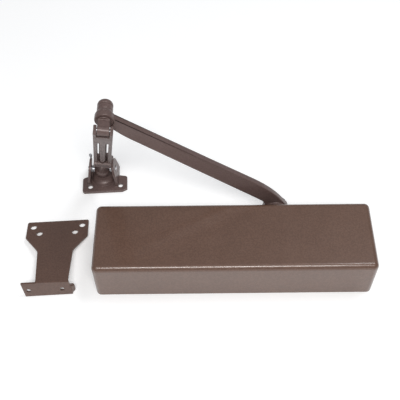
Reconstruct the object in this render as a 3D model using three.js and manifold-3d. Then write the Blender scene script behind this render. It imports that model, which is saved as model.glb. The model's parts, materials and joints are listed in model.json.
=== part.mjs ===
// Surface door closer with a regular arm, and its loose parallel-arm bracket.
// Millimetres, +Z up. The closer lies on its back: its door face is the plane z = 0,
// the cover faces up, X runs along the body and the spindle lies along Y.
import * as THREE from "three";
import { RoundedBoxGeometry } from "three/addons/geometries/RoundedBoxGeometry.js";
import { mergeVertices } from "three/addons/utils/BufferGeometryUtils.js";
import Module from "manifold-3d";

const wasm = await Module();
wasm.setup();

// ---- Driving dimensions ----
const cover = { length: 311, height: 86, depth: 55.3, radius: 6, wall: 2 };
const axisZ = 27.5; // height of the body's bore and of the spindle above the door face
const gap = 0.3; // left between pieces that touch
const body = { outer: 23, bore: 19, end: 128, lugX: 122, lugY: 28, screwHole: 3.4 };
const spindleAt = { x: 51, z: axisZ };
const gear = { module: 1.5, teeth: 12, pressure: THREE.MathUtils.degToRad(20), backlash: 0.12 };
const pitchRadius = (gear.module * gear.teeth) / 2;
const piston = { radius: 18.5, left: 26, right: 96, slotLeft: 38, slotRight: 84 };
const spring = { wire: 2.3, radius: 14.5, left: -108, right: 25.4, turns: 9 };
const bearing = { bore: 8.3, inner: 20, outer: 30, seat: 12.2, face: 38 };
const arm = { near: 52, far: 58.4, hubNear: 46, hubFar: 59.5, hubRadius: 15, eyeRadius: 9.9 };
const elbow = { x: -132, z: 188, swing: THREE.MathUtils.degToRad(8.7), knuckleY: 39 };
const forearm = {
  tilt: THREE.MathUtils.degToRad(25.78),
  halfWidth: 10,
  halfDepth: 4.2,
  footDepth: 6.7,
  forkInner: 6.7,
  forkDepth: 14,
  windowHalf: 6,
  windowTop: 39,
  windowEnd: 131,
  end: 148,
  top: 5.2,
  rod: 4.2,
  rodTop: 40.4,
  flat: 3.3,
  length: 187.8,
};
const shoe = {
  near: 98.6,
  far: 121,
  tail: 160,
  left: -26.2,
  right: 29,
  thick: 4,
  holes: [-16.75, 20.75],
  holeY: 107,
  holeRadius: 3.2,
  turn: THREE.MathUtils.degToRad(3),
};
const bracket = { length: 97, thick: 2.4, flange: 22, yaw: THREE.MathUtils.degToRad(3) };
const bracketAt = { x: -203.4, y: -38.7 };

// ---- Materials ----
function paint(color, roughness, metalness) {
  return new THREE.MeshStandardMaterial({ color, roughness, metalness });
}
const bronze = paint(0x5a4a40, 0.42, 0.35);
const armBronze = paint(0x574840, 0.38, 0.4);
const iron = paint(0x4b4a48, 0.6, 0.5);
const steel = paint(0xa8a8a8, 0.35, 0.9);
const brass = paint(0xb08d4a, 0.35, 0.9);
const rubber = paint(0x1c1c1c, 0.8, 0);

// ---- Solids ----
function solid(geometry) {
  const bare = new THREE.BufferGeometry();
  const flat = geometry.index ? geometry.toNonIndexed() : geometry;
  bare.setAttribute("position", flat.getAttribute("position"));
  const merged = mergeVertices(bare, 1e-4);
  return new wasm.Manifold(
    new wasm.Mesh({
      numProp: 3,
      vertProperties: new Float32Array(merged.attributes.position.array),
      triVerts: new Uint32Array(merged.index.array),
    }),
  );
}

function geometryOf(manifold) {
  const mesh = manifold.getMesh();
  const geometry = new THREE.BufferGeometry();
  geometry.setAttribute("position", new THREE.BufferAttribute(mesh.vertProperties, 3));
  geometry.setIndex(new THREE.BufferAttribute(mesh.triVerts, 1));
  const faceted = geometry.toNonIndexed();
  faceted.computeVertexNormals();
  return faceted;
}

function join(...solids) {
  return solids.reduce((a, b) => a.add(b));
}

function cut(from, ...tools) {
  return tools.reduce((a, b) => a.subtract(b), from);
}

function block(x0, x1, y0, y1, z0, z1) {
  const box = new THREE.BoxGeometry(x1 - x0, y1 - y0, z1 - z0);
  return solid(box.translate((x0 + x1) / 2, (y0 + y1) / 2, (z0 + z1) / 2));
}

// Turns a geometry made along +Z so that it lies along X, Y or Z.
function turned(geometry, axis) {
  const turns = {
    x: [new THREE.Vector3(0, 1, 0), new THREE.Vector3(0, 0, 1), new THREE.Vector3(1, 0, 0)],
    y: [new THREE.Vector3(0, 0, 1), new THREE.Vector3(1, 0, 0), new THREE.Vector3(0, 1, 0)],
    z: [new THREE.Vector3(1, 0, 0), new THREE.Vector3(0, 1, 0), new THREE.Vector3(0, 0, 1)],
  };
  return geometry.applyMatrix4(new THREE.Matrix4().makeBasis(...turns[axis]));
}

// A round bar along an axis, from one coordinate to another, through the point at.
function bar(axis, radius, from, to, at = [0, 0, 0], sides = 28) {
  const geometry = new THREE.CylinderGeometry(radius, radius, to - from, sides, 1);
  geometry.rotateX(Math.PI / 2).translate(0, 0, (from + to) / 2);
  return solid(turned(geometry, axis).translate(...at));
}

function ring(axis, outer, inner, from, to, at, sides = 28) {
  return cut(
    bar(axis, outer, from, to, at, sides),
    bar(axis, inner, from - 1, to + 1, at, sides),
  );
}

// A turned piece: the profile is [radius, height] points that start and end on the axis.
function lathe(axis, profile, at, sides = 28) {
  const points = profile.map(([r, h]) => new THREE.Vector2(r, h));
  const geometry = new THREE.LatheGeometry(points, sides).rotateX(Math.PI / 2);
  return solid(turned(geometry, axis).translate(...at));
}

// A flat piece: an outline in the two axes after the given one, in X, Y, Z order.
function plate(axis, shape, from, to, curveSegments = 12) {
  const options = { depth: to - from, bevelEnabled: false, curveSegments };
  const geometry = new THREE.ExtrudeGeometry(shape, options).translate(0, 0, from);
  return solid(turned(geometry, axis));
}

function outline(points) {
  return new THREE.Shape(points.map(([u, v]) => new THREE.Vector2(u, v)));
}

// ---- Assembly ----
const closer = new THREE.Group();

function piece(name, shape, material, group = closer) {
  const mesh = new THREE.Mesh(geometryOf(shape), material);
  mesh.name = name;
  group.add(mesh);
}

const onSpindle = [spindleAt.x, 0, spindleAt.z];
const onBore = [0, 0, axisZ];

// ---- Cover ----
// A five-sided shell with round edges, open at the door face, with a notch for the spindle.
function coverShell(inset) {
  const extra = 2 * cover.radius;
  const box = new RoundedBoxGeometry(
    cover.length - 2 * inset,
    cover.height - 2 * inset,
    cover.depth - inset + extra,
    4,
    cover.radius - inset,
  );
  return solid(box.translate(0, 0, (cover.depth - inset - extra) / 2));
}
const notch = join(
  block(spindleAt.x - 12, spindleAt.x + 12, 30, 50, -1, axisZ),
  bar("y", 12, 30, 50, onSpindle),
);
const below = block(-200, 200, -100, 100, -50, 0);
piece("cover", cut(coverShell(0), coverShell(cover.wall), notch, below), bronze);

// ---- Cast body ----
const bossRadius = 17;
function bodyBlank() {
  const barrel = bar("x", body.outer, -body.end, body.end, onBore, 40);
  const base = block(-112, 112, -20, 20, 0, 20);
  const boss = bar("y", bossRadius, -bearing.face, bearing.face, onSpindle);
  const bossFoot = block(
    spindleAt.x - bossRadius,
    spindleAt.x + bossRadius,
    -bearing.face,
    bearing.face,
    0,
    axisZ,
  );
  const lugs = [-1, 1].map((side) =>
    block(side * body.lugX - 14, side * body.lugX + 14, -38, 38, 0, 7),
  );
  return join(barrel, base, boss, bossFoot, ...lugs);
}
const screwSpots = [-1, 1].flatMap((x) => [-1, 1].map((y) => [x * body.lugX, y * body.lugY]));
const screwHoles = screwSpots.map(([x, y]) => bar("z", body.screwHole, -1, 12, [x, y, 0], 20));
const valves = [
  { name: "closing_speed_valve", x: 104, y: 10 },
  { name: "latch_speed_valve", x: 104, y: -10 },
  { name: "backcheck_valve", x: -20, y: 0 },
];
const valveTop = axisZ + body.outer + 1.5;
const valveHoles = valves.map((v) => bar("z", 3, axisZ + 14, 60, [v.x, v.y, 0], 16));
const bosses = valves.map((v) => bar("z", 6, axisZ + 16, valveTop - 1, [v.x, v.y, 0], 20));
piece(
  "cylinder_body",
  cut(
    join(bodyBlank(), ...bosses),
    bar("x", body.bore, -140, 140, onBore, 40),
    bar("y", bearing.seat, -50, 50, onSpindle),
    ...screwHoles,
    ...valveHoles,
  ),
  iron,
);
for (const v of valves) {
  const stem = bar("z", 2.6, axisZ + 19.5, valveTop, [v.x, v.y, 0], 16);
  const slot = block(v.x - 3, v.x + 3, v.y - 0.4, v.y + 0.4, valveTop - 1, valveTop + 1);
  piece(v.name, cut(stem, slot), brass);
}

// ---- End plugs, their seals and the spring adjuster ----
const plug = { inner: 112, neck: 4 };
const adjusterRadius = 5;
for (const [name, side] of [["left", -1], ["right", 1]]) {
  const span = (a, b) => [Math.min(side * a, side * b), Math.max(side * a, side * b)];
  const head = bar("x", body.bore + 1, ...span(body.end + gap, body.end + 4.5), onBore, 40);
  const shank = bar("x", body.bore - 0.5, ...span(plug.inner, body.end + 1), onBore, 32);
  const groove = ring(
    "x",
    body.bore,
    body.bore - 3,
    ...span(plug.inner + 4, plug.inner + 7),
    onBore,
    32,
  );
  const drilled = side < 0 ? [bar("x", adjusterRadius + gap, -140, -100, onBore, 24)] : [];
  piece(`${name}_end_plug`, cut(join(head, shank), groove, ...drilled), steel);
  const seal = span(plug.inner + 4 + gap, plug.inner + 7 - gap);
  piece(`${name}_plug_seal`, ring("x", 18.75, 16.3, ...seal, onBore, 32), rubber);
}
const adjusterHead = bar("x", 8, -137.5, -133, onBore, 6);
const adjusterStem = bar("x", adjusterRadius, -133.5, spring.left - 2.5, onBore, 24);
const adjusterSocket = bar("x", 2.5, -140, -134.5, onBore, 6);
piece("spring_adjuster", cut(join(adjusterHead, adjusterStem), adjusterSocket), steel);
const seatFace = spring.left - 0.3;
piece("spring_seat", bar("x", 17.8, seatFace - 1.9, seatFace, onBore, 32), steel);

// ---- Main spring ----
class Helix extends THREE.Curve {
  getPoint(t, target = new THREE.Vector3()) {
    const angle = 2 * Math.PI * spring.turns * t;
    const ends = 2 * spring.wire;
    const x = spring.left + spring.wire + t * (spring.right - spring.left - ends);
    return target.set(x, spring.radius * Math.cos(angle), axisZ + spring.radius * Math.sin(angle));
  }
}
function wire(radius, sides) {
  const turn = (2 * Math.PI) / sides;
  return outline(
    Array.from({ length: sides }, (_, i) => [
      radius * Math.cos(i * turn),
      radius * Math.sin(i * turn),
    ]),
  );
}
const springSteps = { steps: spring.turns * 12, extrudePath: new Helix() };
const coil = new THREE.ExtrudeGeometry(wire(spring.wire, 6), springSteps);
piece("main_spring", solid(coil), steel);

// ---- Rack piston and pinion spindle ----
const rackDepth = { above: 0.68 * gear.module, below: 1.15 * gear.module };
const pinionDepth = { above: 0.88 * gear.module, below: 0.95 * gear.module };
const pitch = Math.PI * gear.module;
const pitchLine = axisZ - pitchRadius;

// The rack's teeth stand up from the slot's floor. One gap sits under the spindle's axis.
function rackTeeth(from, to) {
  const lean = Math.tan(gear.pressure);
  const teeth = [];
  const count = Math.floor((to - from) / pitch);
  const first = Math.ceil((from - spindleAt.x) / pitch);
  const root = pitchLine - rackDepth.below;
  const tip = pitchLine + rackDepth.above;
  for (let i = first; i < first + count; i++) {
    const x = spindleAt.x + (i + 0.5) * pitch;
    const half = pitch / 4 - gear.backlash;
    const foot = half + rackDepth.below * lean;
    const top = half - rackDepth.above * lean;
    if (x - foot < from || x + foot > to) continue;
    const side = [
      [x - foot, root - 1],
      [x - foot, root],
      [x - top, tip],
      [x + top, tip],
      [x + foot, root],
      [x + foot, root - 1],
    ];
    const swapped = side.map(([u, v]) => [v, u]).reverse();
    teeth.push(plate("y", outline(swapped), -11, 11));
  }
  return teeth;
}
const slotFloor = pitchLine - rackDepth.below;
const pistonBlank = bar("x", piston.radius, piston.left, piston.right, onBore, 40);
const pistonSlot = block(piston.slotLeft, piston.slotRight, -30, 30, slotFloor, axisZ + 11.2);
const springPocket = bar("x", 5, piston.left - 1, piston.left + 6, onBore, 20);
const toothSpan = [piston.slotLeft + 0.4, piston.slotRight - 0.4];
const rackBar = block(piston.slotLeft - 1, piston.slotRight + 1, -11, 11, slotFloor - 2, slotFloor);
piece(
  "rack_piston",
  join(cut(pistonBlank, pistonSlot, springPocket), rackBar, ...rackTeeth(...toothSpan)),
  steel,
);

// Involute teeth. One tooth points straight down at the rack's gap.
function pinionOutline() {
  const base = pitchRadius * Math.cos(gear.pressure);
  const tip = pitchRadius + pinionDepth.above;
  const root = pitchRadius - pinionDepth.below;
  const involute = (r) => {
    const a = Math.sqrt(Math.max(0, (r / base) ** 2 - 1));
    return a - Math.atan(a);
  };
  const halfPitch = Math.PI / (2 * gear.teeth) - gear.backlash / pitchRadius;
  const halfAt = (r) => halfPitch + involute(pitchRadius) - involute(Math.max(r, base));
  const radii = [root, base, (base + pitchRadius) / 2, pitchRadius, (pitchRadius + tip) / 2, tip];
  const points = [];
  for (let i = 0; i < gear.teeth; i++) {
    const middle = -Math.PI / 2 + (2 * Math.PI * i) / gear.teeth;
    const rise = radii.map((r) => [r, middle - halfAt(r)]);
    const fall = radii.map((r) => [r, middle + halfAt(r)]).reverse();
    for (const [r, a] of [...rise, ...fall]) {
      points.push([spindleAt.x + r * Math.cos(a), spindleAt.z + r * Math.sin(a)]);
    }
  }
  return outline(points.map(([x, z]) => [z, x]).reverse());
}
const pinionHalf = 10.6;
const squareHalf = 5.6;
piece(
  "spindle",
  join(
    plate("y", pinionOutline(), -pinionHalf, pinionHalf),
    bar("y", 7.9, -37, 44, onSpindle),
    block(
      spindleAt.x - squareHalf,
      spindleAt.x + squareHalf,
      43,
      58.5,
      spindleAt.z - squareHalf,
      spindleAt.z + squareHalf,
    ),
  ),
  steel,
);
for (const [name, side] of [["near", -1], ["far", 1]]) {
  const span = (a, b) => [Math.min(side * a, side * b), Math.max(side * a, side * b)];
  const race = span(bearing.inner, bearing.outer);
  piece(`${name}_bearing`, ring("y", bearing.seat - gap, bearing.bore, ...race, onSpindle), steel);
  const sealSpan = span(bearing.outer + gap, bearing.face - 2);
  piece(`${name}_spindle_seal`, ring("y", 11.8, bearing.bore, ...sealSpan, onSpindle), rubber);
  const cap = ring("y", 15, 8.6, ...span(bearing.face + gap, bearing.face + 2.6), onSpindle, 24);
  piece(`${name}_bearing_cap`, cap, steel);
}

// ---- Fixings inside the cover ----
screwSpots.forEach(([x, y], i) => {
  const head = lathe("z", [[0, 7.4], [6, 7.4], [6, 9.4], [3.6, 11.4], [0, 11.4]], [x, y, 0], 24);
  const shank = bar("z", 2.9, 0.2, 8, [x, y, 0], 20);
  const driver = bar("z", 1.8, 9.6, 12, [x, y, 0], 6);
  piece(`mounting_screw_${i + 1}`, cut(join(head, shank), driver), steel);
});
for (const [name, side] of [["left", -1], ["right", 1]]) {
  const wall = side * (cover.length / 2 - cover.wall - gap);
  const x0 = Math.min(wall, wall - side * 12);
  const foot = block(x0, x0 + 12, -14, 14, 0.3, 3);
  const web = block(Math.min(wall, wall - side * 2), Math.max(wall, wall - side * 2), -14, 14, 1, 24);
  piece(`${name}_cover_clip`, join(foot, web), steel);
}

// ---- Main arm ----
// A forged flat arm: a hub on the spindle, a bend, a tapered straight and an eye at the elbow.
function armOutline() {
  const shape = new THREE.Shape();
  shape.moveTo(elbow.x + 2, elbow.z + 8.3);
  shape.lineTo(-109, 180.6);
  shape.lineTo(23.5, 81.5);
  shape.bezierCurveTo(45.5, 65, 58, 47, 64, 34);
  shape.lineTo(spindleAt.x, spindleAt.z - 4);
  shape.lineTo(36.4, 30);
  shape.quadraticCurveTo(41, 39.4, 33, 46.7);
  shape.lineTo(24.7, 53.3);
  shape.lineTo(-110.5, 160);
  shape.quadraticCurveTo(-120, 168, -128.5, 178.6);
  shape.closePath();
  return shape;
}
// plate("y", ...) takes an outline in (z, x), so the arm's (x, z) outline is mirrored over.
function inZX(shape, divisions) {
  return outline(shape.getPoints(divisions).map((p) => [p.y, p.x]).reverse());
}
const onElbow = [elbow.x, 0, elbow.z];
const squareHole = block(
  spindleAt.x - squareHalf - gap,
  spindleAt.x + squareHalf + gap,
  40,
  70,
  spindleAt.z - squareHalf - gap,
  spindleAt.z + squareHalf + gap,
);
piece(
  "main_arm",
  cut(
    join(
      plate("y", inZX(armOutline(), 10), arm.near, arm.far),
      bar("y", arm.hubRadius, arm.hubNear, arm.hubFar, onSpindle, 40),
      bar("y", arm.eyeRadius, arm.near - 0.5, arm.far + 0.4, onElbow, 36),
    ),
    squareHole,
    bar("y", 5.4, 40, 70, onElbow, 24),
  ),
  armBronze,
);
piece("arm_washer", ring("y", 10.5, 4.5, arm.hubFar + gap, arm.hubFar + 2, onSpindle), steel);
const armScrewHead = bar("y", 7, arm.hubFar + 2 + gap, arm.hubFar + 7, onSpindle, 6);
const armScrewStem = bar("y", 3.8, 58.5 + gap, arm.hubFar + 3, onSpindle, 20);
piece("arm_screw", join(armScrewHead, armScrewStem), steel);

// ---- Elbow ----
// Its group has its origin on the knuckle pin and turns with the forearm's swing.
const elbowGroup = new THREE.Group();
elbowGroup.position.set(elbow.x, elbow.knuckleY, elbow.z);
elbowGroup.rotation.y = elbow.swing;
closer.add(elbowGroup);
const fromPin = (y) => y - elbow.knuckleY;
const tongueHalf = 6.2;
const tongueRadius = 5.2;
function elbowStud() {
  const shaft = bar("y", 5, fromPin(48), fromPin(69.4));
  const collar = bar("y", 7.4, fromPin(49.6), fromPin(arm.near - 0.5 - gap));
  const tongue = join(
    bar("x", tongueRadius, -tongueHalf, tongueHalf, [0, 0, 0], 32),
    block(-tongueHalf, tongueHalf, 0, fromPin(50), -4.7, 4.7),
  );
  return cut(join(shaft, collar, tongue), bar("x", 2.6, -10, 10, [0, 0, 0], 20));
}
piece("elbow_stud", elbowStud(), armBronze, elbowGroup);
const washerAt = arm.far + 0.4 + gap;
const coned = [[0, 0], [9.3, 0], [8.3, 62.4 - washerAt], [0, 62.4 - washerAt]];
const washerBore = bar("y", 5.3, fromPin(50), fromPin(70));
const washer = cut(lathe("y", coned, [0, fromPin(washerAt), 0], 36), washerBore);
piece("elbow_washer", washer, armBronze, elbowGroup);
const nut = ring("y", 8.2, 5.3, fromPin(62.7), fromPin(69.4), [0, 0, 0], 36);
piece("elbow_nut", nut, armBronze, elbowGroup);
const domed = [[0, 0], [8.2, 0], [8.2, 2.2], [7.6, 4.4], [6.1, 6], [3.6, 7], [0, 7.3]];
piece("elbow_cap", lathe("y", domed, [0, fromPin(69.7), 0], 36), armBronze, elbowGroup);
piece("knuckle_pin", bar("x", 2.3, -9.6, 9.6, [0, 0, 0], 20), steel, elbowGroup);

// ---- Forearm ----
// Its group leans back from the knuckle pin. Local -Z runs down the forearm.
const forearmGroup = new THREE.Group();
forearmGroup.rotation.x = forearm.tilt;
elbowGroup.add(forearmGroup);

// The yoke: a fork at the top, two rails beside an open window, and a block at the foot.
function yokeFront() {
  const w = forearm.halfWidth;
  const shape = new THREE.Shape();
  shape.moveTo(-w, -forearm.end);
  shape.lineTo(w, -forearm.end);
  shape.lineTo(w, forearm.top - 4);
  shape.quadraticCurveTo(w, forearm.top, w - 4, forearm.top);
  shape.lineTo(4 - w, forearm.top);
  shape.quadraticCurveTo(-w, forearm.top, -w, forearm.top - 4);
  shape.closePath();
  return shape;
}
function yoke() {
  const d = forearm.halfDepth;
  const foot = forearm.footDepth;
  const front = plate("y", inZX(yokeFront(), 6), -foot - 1, foot + 1);
  const side = join(
    bar("x", forearm.top, -20, 20, [0, 0, 0], 32),
    block(-20, 20, -d, d, -forearm.end, 0),
    block(-20, 20, -foot, foot, -forearm.end, -forearm.windowEnd - 1),
  );
  const inner = forearm.forkInner;
  const fork = block(-inner, inner, -20, 20, -forearm.forkDepth, 20);
  const half = forearm.windowHalf;
  const window = block(-half, half, -20, 20, -forearm.windowEnd, -forearm.windowTop);
  const rodBore = bar("z", forearm.rod + 0.4, -160, -forearm.windowEnd + 1, [0, 0, 0], 24);
  const pinHole = bar("x", 2.6, -20, 20, [0, 0, 0], 20);
  return cut(front.intersect(side), fork, window, rodBore, pinHole);
}
piece("forearm_yoke", yoke(), armBronze, forearmGroup);
const nutSpan = [-forearm.end - 6.5, -forearm.end - gap];
const lockNut = cut(
  bar("z", 8, ...nutSpan, [0, 0, 0], 6),
  bar("z", forearm.rod + 0.4, -170, -140, [0, 0, 0], 24),
);
piece("rod_lock_nut", lockNut, armBronze, forearmGroup);

// The rod ends in a ball that turns on the shoe's pin, which lies along the frame's X.
const ballRadius = 10.2;
function rodEnd() {
  const ball = new THREE.SphereGeometry(ballRadius, 22, 14).rotateX(Math.PI / 2);
  const shank = bar("z", forearm.rod, -forearm.length + 4, -forearm.rodTop, [0, 0, 0], 24);
  const flats = [-1, 1].map((side) => {
    const ends = [side * forearm.flat, side * 10].sort((a, b) => a - b);
    return block(-10, 10, ...ends, -forearm.windowEnd + 2, -20);
  });
  const neck = new THREE.CylinderGeometry(forearm.rod + 0.8, 7, 12, 24).rotateX(Math.PI / 2);
  const pinBore = new THREE.CylinderGeometry(4.3, 4.3, 40, 24).rotateZ(Math.PI / 2);
  const turnBack = new THREE.Quaternion()
    .setFromAxisAngle(new THREE.Vector3(0, 1, 0), elbow.swing)
    .multiply(
      new THREE.Quaternion().setFromAxisAngle(new THREE.Vector3(1, 0, 0), forearm.tilt),
    )
    .invert();
  const atBall = [0, 0, -forearm.length];
  return cut(
    join(
      solid(ball.translate(...atBall)),
      cut(shank, ...flats),
      solid(neck.translate(0, 0, -forearm.length + 13)),
    ),
    solid(pinBore.applyQuaternion(turnBack).translate(...atBall)),
  );
}
piece("forearm_rod", rodEnd(), armBronze, forearmGroup);

// ---- Shoe ----
closer.updateMatrixWorld(true);
const ballAt = forearmGroup.localToWorld(new THREE.Vector3(0, 0, -forearm.length));
const shoeX = ballAt.x;
// The plate is turned a little on the table against the pin's line.
function turnedOnPlate(x, y) {
  const point = new THREE.Vector2(shoeX + x, y);
  const turnedPoint = point.rotateAround(new THREE.Vector2(shoeX, ballAt.y), shoe.turn);
  return [turnedPoint.x, turnedPoint.y];
}
function shoePlate() {
  const { left, right, near, far, tail } = shoe;
  const front = [
    [left + 2, near],
    [right - 6, near],
    [right, near + 3],
    [right, far - 1.5],
    [right - 2, far],
    [19, far + 1.5],
    [19, 136],
    [11, 144],
    [11, tail - 6],
    [5, tail],
    [-5, tail],
    [-11, tail - 6],
    [-11, 144],
    [-19, 136],
    [-19, far + 1.5],
    [left + 2, far],
    [left, far - 2],
    [left, near + 2],
  ];
  return plate("z", outline(front.map(([x, y]) => turnedOnPlate(x, y))), 0, shoe.thick);
}
const shoeHoles = shoe.holes.map((x) =>
  bar("z", shoe.holeRadius, -1, 10, [...turnedOnPlate(x, shoe.holeY), 0], 24),
);
// An ear leans in as it rises and is rounded about the pin.
function ear(side) {
  const section = [
    [shoeX + side * 19, shoe.thick - 1],
    [shoeX + side * 18.2, 12],
    [shoeX + side * 14.4, 36],
    [shoeX + side * 11.5, 36],
    [shoeX + side * 15.2, 12],
    [shoeX + side * 15.6, shoe.thick - 1],
  ];
  const shape = outline(side > 0 ? section : section.reverse());
  const depth = { depth: 60, bevelEnabled: false };
  const leaning = new THREE.ExtrudeGeometry(shape, depth)
    .rotateX(Math.PI / 2)
    .translate(0, 160, 0);
  const round = join(
    bar("x", 13.2, shoeX - 30, shoeX + 30, [0, ballAt.y, ballAt.z], 40),
    plate(
      "x",
      outline([
        [ballAt.y - 15, 2],
        [ballAt.y + 17, 2],
        [ballAt.y + 12.4, ballAt.z + 4],
        [ballAt.y - 12.4, ballAt.z + 4],
      ]),
      shoeX - 30,
      shoeX + 30,
    ),
  );
  return solid(leaning).intersect(round);
}
const screwAt = [shoeX - 13.6, ballAt.y + 9.5];
const domeProfile = [[0, 1], [14, 1], [14, 4.2], [13.3, 6], [11.6, 7.5], [9, 8.7], [5, 9.4], [0, 9.5]];
const dome = lathe("z", domeProfile, [shoeX, ballAt.y, 0], 36);
piece(
  "shoe",
  cut(
    join(shoePlate(), ear(-1), ear(1), dome),
    ...shoeHoles,
    bar("x", 4.1, shoeX - 30, shoeX + 30, [0, ballAt.y, ballAt.z], 24),
    bar("z", 1.3, 24, 60, [...screwAt, 0], 12),
  ),
  armBronze,
);
const shoePinSpan = [shoeX - 17.2, shoeX + 17.2];
piece("shoe_pin", bar("x", 3.8, ...shoePinSpan, [0, ballAt.y, ballAt.z], 24), steel);
const screwProfile = [[0, 26.5], [1, 26.5], [1, 34], [1.9, 34.6], [2.1, 36], [1.6, 37.6], [0, 38]];
piece("pin_lock_screw", lathe("z", screwProfile, [...screwAt, 0], 16), steel);

// ---- Loose parallel-arm bracket ----
// It leans on its flange and on its plate's far edge. Locally the bend is at y = 0.
const bracketGroup = new THREE.Group();
const lean = Math.atan((bracket.flange - bracket.thick) / (bracket.length - bracket.thick));
const bracketZ = bracket.flange * Math.cos(lean) + bracket.thick * Math.sin(lean) + 0.02;
bracketGroup.position.set(bracketAt.x, bracketAt.y, bracketZ);
bracketGroup.rotation.set(-lean, 0, bracket.yaw, "ZXY");
closer.add(bracketGroup);
function bracketPlate() {
  const half = [
    [18.4, 0],
    [18.4, 6],
    [20.5, 47],
    [22, 51],
    [36.5, 71],
    [36.5, 95.5],
    [35, bracket.length],
  ];
  const mirrored = half.map(([x, y]) => [-x, y]).reverse();
  return plate("z", outline([...half, ...mirrored]), -bracket.thick, 0);
}
const plateHoles = [[29, 88.5], [21, 77.5]].flatMap(([x, y]) =>
  [-1, 1].map((side) => bar("z", 3.6, -10, 10, [side * x, y, 0], 24)),
);
const flangeHoles = [-27.3, 10.2].map((x) => bar("y", 2.5, -5, 10, [x, 0, -12.5], 20));
const flangeEnds = { left: -34.5, right: 18.8, slant: 2.4 };
const flangePlate = plate(
  "y",
  outline([
    [-bracket.flange, flangeEnds.left + flangeEnds.slant],
    [-bracket.flange, flangeEnds.right + flangeEnds.slant],
    [-0.6, flangeEnds.right],
    [-0.6, flangeEnds.left],
  ]),
  0,
  bracket.thick,
);
// A short wing folded back at the flange's right end, cut away towards the bend.
const wing = cut(
  plate("z", outline([[16, 0.3], [20.8, 0.3], [24, 5.2], [22.2, 6.6], [19, 2.4], [16, 2.4]]), -20.5, -2),
  plate("y", outline([[-18, 28], [-4.5, 17.5], [4, 17.5], [4, 28]]), -5, 12),
);
piece(
  "parallel_arm_bracket",
  cut(join(bracketPlate(), flangePlate, wing), ...plateHoles, ...flangeHoles),
  bronze,
  bracketGroup,
);

export default closer;
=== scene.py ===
import json
import math

import bmesh
import bpy
from mathutils import Matrix, Vector


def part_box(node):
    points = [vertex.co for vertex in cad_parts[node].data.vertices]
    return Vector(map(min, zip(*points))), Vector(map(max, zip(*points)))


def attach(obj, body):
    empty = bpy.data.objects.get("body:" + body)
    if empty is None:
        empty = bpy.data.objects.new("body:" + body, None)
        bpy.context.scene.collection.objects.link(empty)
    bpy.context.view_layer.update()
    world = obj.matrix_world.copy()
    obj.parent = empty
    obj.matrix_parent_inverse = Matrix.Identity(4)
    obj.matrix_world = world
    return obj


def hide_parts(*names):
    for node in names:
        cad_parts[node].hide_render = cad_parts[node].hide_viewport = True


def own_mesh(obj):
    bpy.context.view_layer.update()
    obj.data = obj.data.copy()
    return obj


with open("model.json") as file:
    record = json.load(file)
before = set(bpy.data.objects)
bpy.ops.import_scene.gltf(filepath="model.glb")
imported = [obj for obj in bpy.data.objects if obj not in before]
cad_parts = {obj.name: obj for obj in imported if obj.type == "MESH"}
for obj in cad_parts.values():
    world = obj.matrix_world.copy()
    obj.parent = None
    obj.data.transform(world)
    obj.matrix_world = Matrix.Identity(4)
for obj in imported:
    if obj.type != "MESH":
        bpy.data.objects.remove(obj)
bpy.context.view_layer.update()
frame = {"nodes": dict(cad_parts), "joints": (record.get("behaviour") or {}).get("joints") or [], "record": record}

MM = 0.001
WELD = 0.002 * MM
ON_AXIS = 1e-7
SMOOTH_ANGLE = 32
EDGE_ANGLE = 35
NODES = frame["nodes"]
BODY_OF = {n: b for b, names in frame["record"]["behaviour"]["bodies"].items() for n in names}
SLOT_OF = {s["node"]: s["material_slot"] for s in frame["record"]["subparts"]}
JOINTS = {joint["name"]: joint for joint in frame["joints"]}


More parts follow.
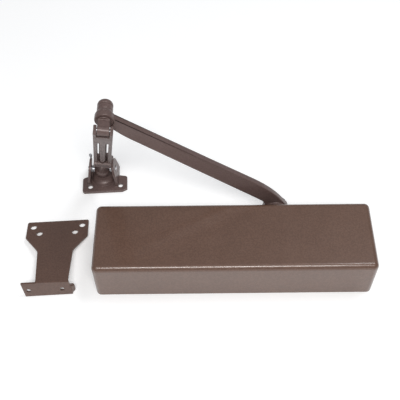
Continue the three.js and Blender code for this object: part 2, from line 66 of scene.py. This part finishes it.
# ---- Materials ----
class Graph:
    """A material's nodes, added one at a time."""

    def __init__(self, name):
        self.material = bpy.data.materials.new(name)
        self.material.use_nodes = True
        self.tree = self.material.node_tree
        self.shader = self.tree.nodes["Principled BSDF"]
        self.place = self.add("ShaderNodeTexCoord").outputs["Object"]

    def add(self, kind, links=None, **settings):
        node = self.tree.nodes.new(kind)
        for key, value in settings.items():
            if key in node.inputs:
                node.inputs[key].default_value = value
            else:
                setattr(node, key, value)
        for socket, source in (links or {}).items():
            self.tree.links.new(source, node.inputs[socket])
        return node

    def noise(self, scale, detail=3.0, stretch=None):
        place = self.place
        if stretch:
            place = self.add("ShaderNodeMapping", {"Vector": place}, Scale=stretch).outputs[0]
        node = self.add("ShaderNodeTexNoise", {"Vector": place}, Scale=scale, Detail=detail)
        return node.outputs["Fac"]

    def remap(self, source, low, high, to_low, to_high):
        node = self.add("ShaderNodeMapRange", {"Value": source})
        for name, value in zip(("From Min", "From Max", "To Min", "To Max"),
                               (low, high, to_low, to_high)):
            node.inputs[name].default_value = value
        return node.outputs["Result"]

    def spread(self, noise, to_low, to_high):
        """Stretches the span that a noise mostly keeps to."""
        return self.remap(noise, 0.3, 0.7, to_low, to_high)

    def mix(self, factor, first, second):
        node = self.add("ShaderNodeMix", data_type="RGBA")
        self.tree.links.new(factor, node.inputs["Factor"])
        colours = [s for s in node.inputs if s.type == "RGBA"]
        for socket, value in zip(colours, (first, second)):
            if isinstance(value, tuple):
                socket.default_value = (*value, 1)
            else:
                self.tree.links.new(value, socket)
        return [s for s in node.outputs if s.type == "RGBA"][0]

    def product(self, first, second):
        node = self.add("ShaderNodeMath", {0: first, 1: second}, operation="MULTIPLY")
        return node.outputs[0]

    def bump(self, height, strength, distance, onto=None):
        links = {"Height": height}
        if onto:
            links["Normal"] = onto
        node = self.add("ShaderNodeBump", links, Strength=strength, Distance=distance)
        return node.outputs["Normal"]

    def edges(self, radius):
        """1 on convex and concave edges, 0 on flats."""
        rounded = self.add("ShaderNodeBevel", samples=6, Radius=radius).outputs["Normal"]
        true = self.add("ShaderNodeNewGeometry").outputs["Normal"]
        links = {0: rounded, 1: true}
        dot = self.add("ShaderNodeVectorMath", links, operation="DOT_PRODUCT").outputs["Value"]
        return self.remap(dot, 0.99, 0.80, 0.0, 1.0)

    def finish(self, colour, roughness, normal, **constants):
        inputs = self.shader.inputs
        self.tree.links.new(colour, inputs["Base Color"])
        self.tree.links.new(roughness, inputs["Roughness"])
        self.tree.links.new(normal, inputs["Normal"])
        for name, value in constants.items():
            inputs[name.replace("_", " ")].default_value = value
        return self.material


# Colour of the tiny highlights painted onto the paint's metal flake.
FLAKE_GLINT_COLOUR = (0.30, 0.235, 0.20)
WORN_COLOUR = (0.20, 0.15, 0.125)
SPECK_SHADE = 0.45


def bronze_paint(name, dark, light, smooth, rough, peel, coat):
    """Baked bronze paint: clouds, dark specks, metal flake painted as tiny light glints, orange peel and lightly
    worn edges.
    """
    g = Graph(name)
    cloud = g.spread(g.noise(28, 4), 0.0, 1.0)
    base = g.mix(cloud, dark, light)
    speck = g.remap(g.noise(520, 2), 0.36, 0.62, 0.0, 0.34)
    mottled = g.mix(speck, base, tuple(SPECK_SHADE * c for c in dark))
    # Metal flake with its glints painted in: tiny flecks mixed lighter into the colour, whatever the light.
    flake_glints = g.remap(g.noise(2600, 1), 0.60, 0.78, 0.0, 0.32)
    glint = g.mix(flake_glints, mottled, FLAKE_GLINT_COLOUR)
    chips = g.remap(g.noise(420, 3), 0.50, 0.66, 0.0, 0.55)
    worn = g.product(g.edges(0.9 * MM), chips)
    colour = g.mix(worn, glint, WORN_COLOUR)
    roughness = g.spread(g.noise(60, 4), smooth, rough)
    ripple = g.bump(g.noise(750, 2), peel, 0.12 * MM)
    grain = g.bump(g.noise(2400, 2), 0.25, 0.03 * MM, ripple)
    constants = {"Metallic": 0.1, "Coat_Weight": coat, "Coat_Roughness": 0.14,
                 "Specular_IOR_Level": 0.38}
    return g.finish(colour, roughness, grain, **constants)


def cast_iron(name):
    """Sand-cast iron: a dark rough skin with brighter edges."""
    g = Graph(name)
    colour = g.mix(g.spread(g.noise(55, 5), 0, 1), (0.055, 0.053, 0.05), (0.13, 0.125, 0.12))
    worn = g.product(g.edges(0.8 * MM), g.noise(300))
    colour = g.mix(worn, colour, (0.35, 0.34, 0.33))
    rough = g.spread(g.noise(90), 0.42, 0.68)
    skin = g.bump(g.noise(900, 5), 0.55, 0.35 * MM)
    return g.finish(colour, rough, skin, Metallic=0.6)


def turned_steel(name):
    """Bare steel with fine turning lines across X."""
    g = Graph(name)
    colour = g.mix(g.spread(g.noise(70, 4), 0, 1), (0.36, 0.36, 0.37), (0.52, 0.52, 0.54))
    dull = g.product(g.edges(0.5 * MM), g.noise(500))
    colour = g.mix(dull, colour, (0.72, 0.72, 0.73))
    rough = g.spread(g.noise(240, 3, (1, 9, 9)), 0.22, 0.42)
    lines = g.bump(g.noise(1500, 2, (1, 6, 6)), 0.2, 0.05 * MM)
    return g.finish(colour, rough, lines, Metallic=1.0)


def turned_brass(name):
    """Bare brass, slightly uneven in tone."""
    g = Graph(name)
    colour = g.mix(g.spread(g.noise(160, 4), 0, 1), (0.46, 0.29, 0.09), (0.68, 0.47, 0.18))
    rough = g.spread(g.noise(300), 0.24, 0.42)
    lines = g.bump(g.noise(1800, 2), 0.2, 0.04 * MM)
    return g.finish(colour, rough, lines, Metallic=1.0)


def nitrile(name):
    """Matt black rubber."""
    g = Graph(name)
    colour = g.mix(g.noise(200), (0.012, 0.012, 0.012), (0.035, 0.034, 0.033))
    rough = g.spread(g.noise(400), 0.55, 0.75)
    return g.finish(colour, rough, g.bump(g.noise(1800), 0.3, 0.05 * MM), Metallic=0.0)


FINISHES = {
    "cover_bronze": bronze_paint(
        "cover_bronze", (0.134, 0.072, 0.050), (0.151, 0.083, 0.058), 0.30, 0.37, 0.16, 0.55),
    "arm_bronze": bronze_paint(
        "arm_bronze", (0.128, 0.083, 0.075), (0.148, 0.098, 0.090), 0.32, 0.42, 0.28, 0.12),
    "bracket_bronze": bronze_paint(
        "bracket_bronze", (0.116, 0.062, 0.046), (0.131, 0.072, 0.053), 0.34, 0.42, 0.22, 0.40),
    "cast_iron": cast_iron("cast_iron"),
    "steel": turned_steel("steel"),
    "brass": turned_brass("brass"),
    "rubber": nitrile("rubber"),
}


# ---- Pieces ----
def shade(obj, sharp):
    """Smooth faces, with edges sharper than an angle kept crisp."""
    obj.data.shade_smooth()
    obj.data.set_sharp_from_angle(angle=math.radians(sharp))
    weighted = obj.modifiers.new("flats", "WEIGHTED_NORMAL")
    weighted.keep_sharp = True
    weighted.mode = "FACE_AREA"


def add_piece(name, mesh, node, sharp=SMOOTH_ANGLE):
    """Shows a mesh in place of a CAD node, on the node's body and with the node's finish."""
    obj = bpy.data.objects.new(name, mesh)
    bpy.context.scene.collection.objects.link(obj)
    mesh.materials.clear()
    mesh.materials.append(FINISHES[SLOT_OF[node]])
    shade(obj, sharp)
    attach(obj, BODY_OF[node])
    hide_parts(node)
    return obj


def mesh_of(name, bm):
    bm.normal_update()
    mesh = bpy.data.meshes.new(name)
    bm.to_mesh(mesh)
    bm.free()
    return mesh


def bare_copy(node):
    """The node's mesh with its vertices joined."""
    bm = bmesh.new()
    source = NODES[node].data
    spots = [bm.verts.new(v.co) for v in source.vertices]
    for polygon in source.polygons:
        bm.faces.new([spots[i] for i in polygon.vertices])
    bmesh.ops.remove_doubles(bm, verts=bm.verts, dist=WELD)
    bm.normal_update()
    return bm


def sharp_edges(bm, angle):
    """The edges whose two faces meet at more than an angle in degrees."""
    limit = math.radians(angle)
    return [e for e in bm.edges if len(e.link_faces) == 2 and e.calc_face_angle(0) > limit]


def round_edges(bm, edges, width, steps):
    if edges:
        bmesh.ops.bevel(
            bm, geom=edges, offset=width, offset_type="OFFSET", segments=steps, profile=0.5,
            affect="EDGES", clamp_overlap=False, loop_slide=False)


def refined(node, width):
    """Shows a CAD node with its sharp edges rounded."""
    bm = bare_copy(node)
    round_edges(bm, sharp_edges(bm, EDGE_ANGLE), width, 3)
    add_piece(node + "_shown", mesh_of(node, bm), node)


def link_blank(name, mesh):
    """An object that only shapes a mesh and is removed again."""
    blank = bpy.data.objects.new(name, mesh)
    bpy.context.scene.collection.objects.link(blank)
    return blank


def carved(blank, tool, name):
    """The blank's mesh with the tool's volume cut away. Both objects are removed."""
    cut = blank.modifiers.new("cut", "BOOLEAN")
    cut.object = tool
    cut.operation = "DIFFERENCE"
    cut.solver = "EXACT"
    graph = bpy.context.evaluated_depsgraph_get()
    mesh = bpy.data.meshes.new_from_object(blank.evaluated_get(graph))
    mesh.name = name
    for obj in (blank, tool):
        bpy.data.objects.remove(obj)
    return mesh


def lathe(profile, steps, place):
    """A turned solid: [radius, height] points from axis to axis, about Z, put in place."""
    bm = bmesh.new()
    rings = []
    turn = 2 * math.pi / steps
    for radius, height in profile:
        if radius < ON_AXIS:
            rings.append([bm.verts.new((0, 0, height))])
            continue
        rings.append([
            bm.verts.new((radius * math.cos(i * turn), radius * math.sin(i * turn), height))
            for i in range(steps)])
    for low, high in zip(rings, rings[1:]):
        for i in range(steps):
            j = (i + 1) % steps
            corners = [low[i % len(low)], low[j % len(low)], high[j % len(high)], high[i % len(high)]]
            unique = list(dict.fromkeys(corners))
            if len(unique) > 2:
                bm.faces.new(unique)
    bmesh.ops.recalc_face_normals(bm, faces=bm.faces)
    bm.transform(place)
    return bm


def rounded(profile, radius, steps):
    """The profile with its inner corners filleted."""
    points = [Vector(p) for p in profile]
    result = [points[0]]
    for before, corner, after in zip(points, points[1:], points[2:]):
        back, ahead = before - corner, after - corner
        reach = min(radius, 0.45 * back.length, 0.45 * ahead.length)
        start, end = corner + back.normalized() * reach, corner + ahead.normalized() * reach
        for i in range(steps + 1):
            t = i / steps
            result.append(start * (1 - t) ** 2 + corner * 2 * t * (1 - t) + end * t ** 2)
    return [tuple(p) for p in result + [points[-1]]]


def centre_of(node):
    low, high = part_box(node)
    return (low + high) / 2


def along(axis, origin):
    """A transform that turns Z to an axis and moves to an origin."""
    return Matrix.Translation(origin) @ Vector(axis).to_track_quat("Z", "X").to_matrix().to_4x4()


# ---- Cover ----
def make_cover():
    """A box with round edges, hollow and open at the door, with a notch for the spindle."""
    low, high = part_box("cover")
    radius, wall = 6 * MM, 2 * MM
    bm = bmesh.new()
    bmesh.ops.create_cube(bm, size=1)
    bmesh.ops.scale(bm, verts=bm.verts, vec=high - low)
    bmesh.ops.translate(bm, verts=bm.verts, vec=(low + high) / 2)
    open_side = [f for f in bm.faces if f.normal.z < -0.5]
    rim = {e for f in open_side for e in f.edges}
    bmesh.ops.bevel(
        bm, geom=[e for e in bm.edges if e not in rim], offset=radius, segments=10,
        profile=0.5, affect="EDGES")
    bottom = [f for f in bm.faces if f.normal.z < -0.999]
    bmesh.ops.delete(bm, geom=bottom, context="FACES_ONLY")
    shell = link_blank("cover_blank", mesh_of("cover_blank", bm))
    thick = shell.modifiers.new("wall", "SOLIDIFY")
    thick.thickness = wall
    thick.offset = -1
    thick.use_even_offset = True
    cutter = notch_cutter(Vector(JOINTS["arm_swing"]["pos_m"]), high.y)
    add_piece("cover_shown", carved(shell, cutter, "cover"), "cover", 40)


def notch_cutter(spindle, far):
    """A tool for the notch: straight sides up to a round top, through the far wall."""
    radius, steps = 12 * MM, 32
    bm = bmesh.new()
    arc = [math.pi * i / steps for i in range(steps + 1)]
    points = [(spindle.x + radius * math.cos(a), spindle.z + radius * math.sin(a)) for a in arc]
    points += [(spindle.x - radius, -radius), (spindle.x + radius, -radius)]
    near = [bm.verts.new((x, far - radius, z)) for x, z in points]
    away = [bm.verts.new((x, far + radius, z)) for x, z in points]
    bm.faces.new(near)
    bm.faces.new(list(reversed(away)))
    for i in range(len(points)):
        j = (i + 1) % len(points)
        bm.faces.new((near[j], near[i], away[i], away[j]))
    bmesh.ops.recalc_face_normals(bm, faces=bm.faces)
    return link_blank("notch_cutter", mesh_of("notch_cutter", bm))


# ---- Elbow ----
CAP_OUTLINE = [(0, 0), (1, 0), (1, 0.45), (0.9, 0.74), (0.7, 0.90), (0.4, 0.98), (0, 1)]


def make_elbow_cap():
    """The domed cap; its outline is in parts of its radius and height."""
    low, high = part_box("elbow_cap")
    radius, tall = (high.x - low.x) / 2, high.y - low.y
    profile = [(out * radius, up * tall) for out, up in CAP_OUTLINE]
    centre = centre_of("elbow_cap")
    bm = lathe(rounded(profile, 2.4 * MM, 6), 64, along((0, 1, 0), (centre.x, low.y, centre.z)))
    add_piece("elbow_cap_shown", mesh_of("elbow_cap", bm), "elbow_cap", 50)


# ---- Rod ----
def bored(mesh, centre, radius):
    """The mesh with a round hole along X through a point."""
    reach = 30 * MM
    outline = [(0, -reach), (radius, -reach), (radius, reach), (0, reach)]
    drill = link_blank("drill", mesh_of("drill", lathe(outline, 40, along((1, 0, 0), centre))))
    return carved(link_blank("blank", mesh), drill, mesh.name)


def make_rod():
    """The forearm's rod: flats along the window, a rolled thread below, a ball at the shoe."""
    knuckle = Vector(JOINTS["knuckle_tilt"]["pos_m"])
    ball = Vector(JOINTS["shoe_pitch"]["pos_m"])
    down = (ball - knuckle).normalized()
    across = Vector(JOINTS["knuckle_tilt"]["axis"]).normalized()
    turn = Matrix((across, down.cross(across), down)).transposed().to_4x4()
    place = Matrix.Translation(knuckle) @ turn
    length = (ball - knuckle).length
    crest, root, pitch = 4.15 * MM, 3.6 * MM, 1.25 * MM
    flat, blend = 3.25 * MM, 4 * MM
    top, thread, end = 40.6 * MM, 129 * MM, length - 22 * MM
    around, per_turn, blend_steps = 48, 6, 6
    chamfer_width, chamfer_height = 0.5 * MM, 0.6 * MM
    plain = [top, top + chamfer_height]
    plain += [thread - blend + blend * i / blend_steps for i in range(blend_steps + 1)]
    rows = int((end - thread) / pitch * per_turn)
    cut = [thread + pitch / per_turn * i for i in range(1, rows)]
    bm = bmesh.new()
    rings = []
    for reach in plain + cut:
        milled = min(1, max(0, (thread - reach) / blend))
        fade = min(1, max(0, (reach - thread) / (2 * pitch)), (end - reach) / (2 * pitch))
        chamfer = chamfer_width * max(0, 1 - (reach - top) / chamfer_height)
        spots = []
        for i in range(around):
            angle = 2 * math.pi * i / around
            tooth = abs(2 * ((reach / pitch + i / around) % 1) - 1)
            radius = crest - chamfer - (crest - root) * (1 - tooth) * max(0, fade)
            x, y = radius * math.cos(angle), radius * math.sin(angle)
            limit = crest + (flat - crest) * milled
            y = max(-limit, min(limit, y))
            spots.append(bm.verts.new((x, y, reach)))
        rings.append(spots)
    for low, high in zip(rings, rings[1:]):
        for i in range(around):
            j = (i + 1) % around
            bm.faces.new((low[i], low[j], high[j], high[i]))
    bm.faces.new(list(reversed(rings[0])))
    bm.faces.new(rings[-1])
    bm.transform(place)
    add_piece("rod_shank", mesh_of("rod_shank", bm), "forearm_rod", 30)
    ball_radius, neck_radius, pin_bore = 10.1 * MM, 6.8 * MM, 4.2 * MM
    neck = [(0, 24 * MM), (4.1 * MM, 24 * MM), (5.1 * MM, 20 * MM), (neck_radius, 9 * MM)]
    profile = [(radius, length - back) for radius, back in neck]
    first = math.asin(neck_radius / ball_radius)
    count = 20
    for i in range(1, count + 1):
        angle = first + (math.pi - first) * i / count
        profile.append((ball_radius * math.sin(angle), length - ball_radius * math.cos(angle)))
    profile[-1] = (0, profile[-1][1])
    ball_mesh = bored(mesh_of("rod_ball", lathe(profile, around, place)), ball, pin_bore)
    add_piece("rod_ball", ball_mesh, "forearm_rod", 50)


# ---- Bracket ----
def bend_edges(edges, lowest):
    """The long edges that stay above a height: the outside of the bend."""
    return [e for e in edges if all(v.co.z > lowest for v in e.verts)
            and e.calc_length() > 20 * MM]


def make_bracket():
    """The folded plate, with a round bend between its plate and its flange."""
    bm = bare_copy("parallel_arm_bracket")
    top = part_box("parallel_arm_bracket")[1].z
    edges = sharp_edges(bm, EDGE_ANGLE)
    bend = bend_edges(edges, top - 0.6 * MM)
    rest = [e for e in edges if e not in bend]
    round_edges(bm, rest, 0.35 * MM, 2)
    bm.normal_update()
    bend = bend_edges(sharp_edges(bm, 60), top - 0.9 * MM)
    round_edges(bm, bend, 2.2 * MM, 6)
    bmesh.ops.dissolve_degenerate(bm, dist=WELD, edges=bm.edges)
    add_piece("bracket_shown", mesh_of("bracket", bm), "parallel_arm_bracket")


# ---- Inside the body ----
def make_spring():
    """The main spring: nine turns of round wire, drawn at one length."""
    low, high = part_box("main_spring")
    wire, turns, around, rows_per_turn = 2.3 * MM, 9, 12, 32
    centre = centre_of("main_spring")
    radius = (high.y - low.y) / 2 - wire
    steps = turns * rows_per_turn
    left, right = low.x + wire, high.x - wire
    bm = bmesh.new()
    rings = []
    for row in range(steps + 1):
        angle = 2 * math.pi * turns * row / steps
        out = Vector((0, math.cos(angle), math.sin(angle)))
        spot = Vector((left + (right - left) * row / steps, centre.y, centre.z)) + out * radius
        ring = []
        for i in range(around):
            a = 2 * math.pi * i / around
            offset = out * math.cos(a) + Vector((1, 0, 0)) * math.sin(a)
            ring.append(bm.verts.new(spot + offset * wire))
        rings.append(ring)
    for first, second in zip(rings, rings[1:]):
        for i in range(around):
            j = (i + 1) % around
            bm.faces.new((first[i], first[j], second[j], second[i]))
    bm.faces.new(rings[0])
    bm.faces.new(rings[-1])
    bmesh.ops.recalc_face_normals(bm, faces=bm.faces)
    piece = add_piece("main_spring_shown", mesh_of("main_spring", bm), "main_spring", 60)
    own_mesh(piece)


make_cover()
make_elbow_cap()
make_rod()
make_bracket()
make_spring()

# How far each node's sharp edges are rounded, in millimetres.
SOFT_EDGES = {
    "main_arm": 1.0, "elbow_stud": 0.5, "elbow_washer": 0.4, "elbow_nut": 1.0,
    "forearm_yoke": 0.55, "rod_lock_nut": 0.4, "shoe": 0.45, "arm_screw": 0.5, "arm_washer": 0.35,
    "knuckle_pin": 0.4, "shoe_pin": 0.4, "pin_lock_screw": 0.2, "cylinder_body": 0.9,
}
for node, width in SOFT_EDGES.items():
    refined(node, width * MM)

# The CAD nodes carry the same finishes as the pieces.
for node, obj in NODES.items():
    obj.data.materials.clear()
    obj.data.materials.append(FINISHES[SLOT_OF[node]])


# ---- Floor, light and camera ----
FLOOR_SIZE = 12
FLOOR_DROP = 0.15 * MM
FLOOR_GLOW = 0.17
WORLD_STRENGTH = 0.33


def make_floor():
    """A pale floor just below the parts, so that no face lies in its plane."""
    bpy.ops.mesh.primitive_plane_add(size=FLOOR_SIZE, location=(0, 0, -FLOOR_DROP))
    floor = bpy.context.object
    floor.name = "studio_floor"
    g = Graph("floor")
    colour = g.mix(g.noise(3), (0.93, 0.93, 0.93), (0.95, 0.95, 0.95))
    rough = g.spread(g.noise(8), 0.85, 0.95)
    g.shader.inputs["Emission Color"].default_value = (1, 1, 1, 1)
    g.shader.inputs["Emission Strength"].default_value = FLOOR_GLOW
    floor.data.materials.append(g.finish(colour, rough, g.bump(g.noise(600), 0.02, 0.05 * MM)))


def add_light(name, place, aim, width, depth, watts, colour):
    """A rectangular lamp at a place, facing another."""
    data = bpy.data.lights.new(name, "AREA")
    data.shape = "RECTANGLE"
    data.size = width
    data.size_y = depth
    data.energy = watts
    data.color = colour
    light = bpy.data.objects.new(name, data)
    bpy.context.scene.collection.objects.link(light)
    look = (Vector(aim) - Vector(place)).to_track_quat("-Z", "Y")
    light.matrix_world = Matrix.Translation(place) @ look.to_matrix().to_4x4()


def make_lights():
    """An even surround, a soft key from the near side, its narrow edge and a light above."""
    world = bpy.data.worlds.new("studio")
    bpy.context.scene.world = world
    world.use_nodes = True
    background = world.node_tree.nodes["Background"]
    background.inputs["Color"].default_value = (0.95, 0.97, 1.0, 1)
    background.inputs["Strength"].default_value = WORLD_STRENGTH
    add_light("key", (0.05, -1.15, 1.9), (0, 0.04, 0), 1.0, 0.6, 25, (1.0, 0.99, 0.98))
    add_light("edge", (0.0, -0.95, 1.75), (0, 0, 0.05), 1.3, 0.03, 4.0, (1.0, 0.99, 0.98))
    add_light("overhead", (0.85, 0.42, 2.3), (0, 0.05, 0), 0.9, 0.4, 14, (0.96, 0.98, 1.0))


def make_camera():
    """A camera that looks down at the closer from the near side of its cover."""
    target = Vector((-37.3, 86.6, 0)) * MM
    distance = 905 * MM
    elevation, yaw, roll = (math.radians(a) for a in (54.8, -0.14, -0.72))
    ahead = Vector((
        math.sin(yaw) * math.cos(elevation),
        math.cos(yaw) * math.cos(elevation),
        -math.sin(elevation)))
    across = Vector((math.cos(yaw), -math.sin(yaw), 0))
    upward = across.cross(ahead)
    right = across * math.cos(roll) + upward * math.sin(roll)
    up = upward * math.cos(roll) - across * math.sin(roll)
    data = bpy.data.cameras.new("camera")
    data.lens = 66.0
    data.sensor_width = 36.0
    data.clip_start = 0.01
    camera = bpy.data.objects.new("camera", data)
    bpy.context.scene.collection.objects.link(camera)
    turn = Matrix((right, up, -ahead)).transposed().to_4x4()
    camera.matrix_world = Matrix.Translation(target - ahead * distance) @ turn
    bpy.context.scene.camera = camera


make_floor()
make_lights()
make_camera()
bpy.context.scene.view_settings.view_transform = "Standard"
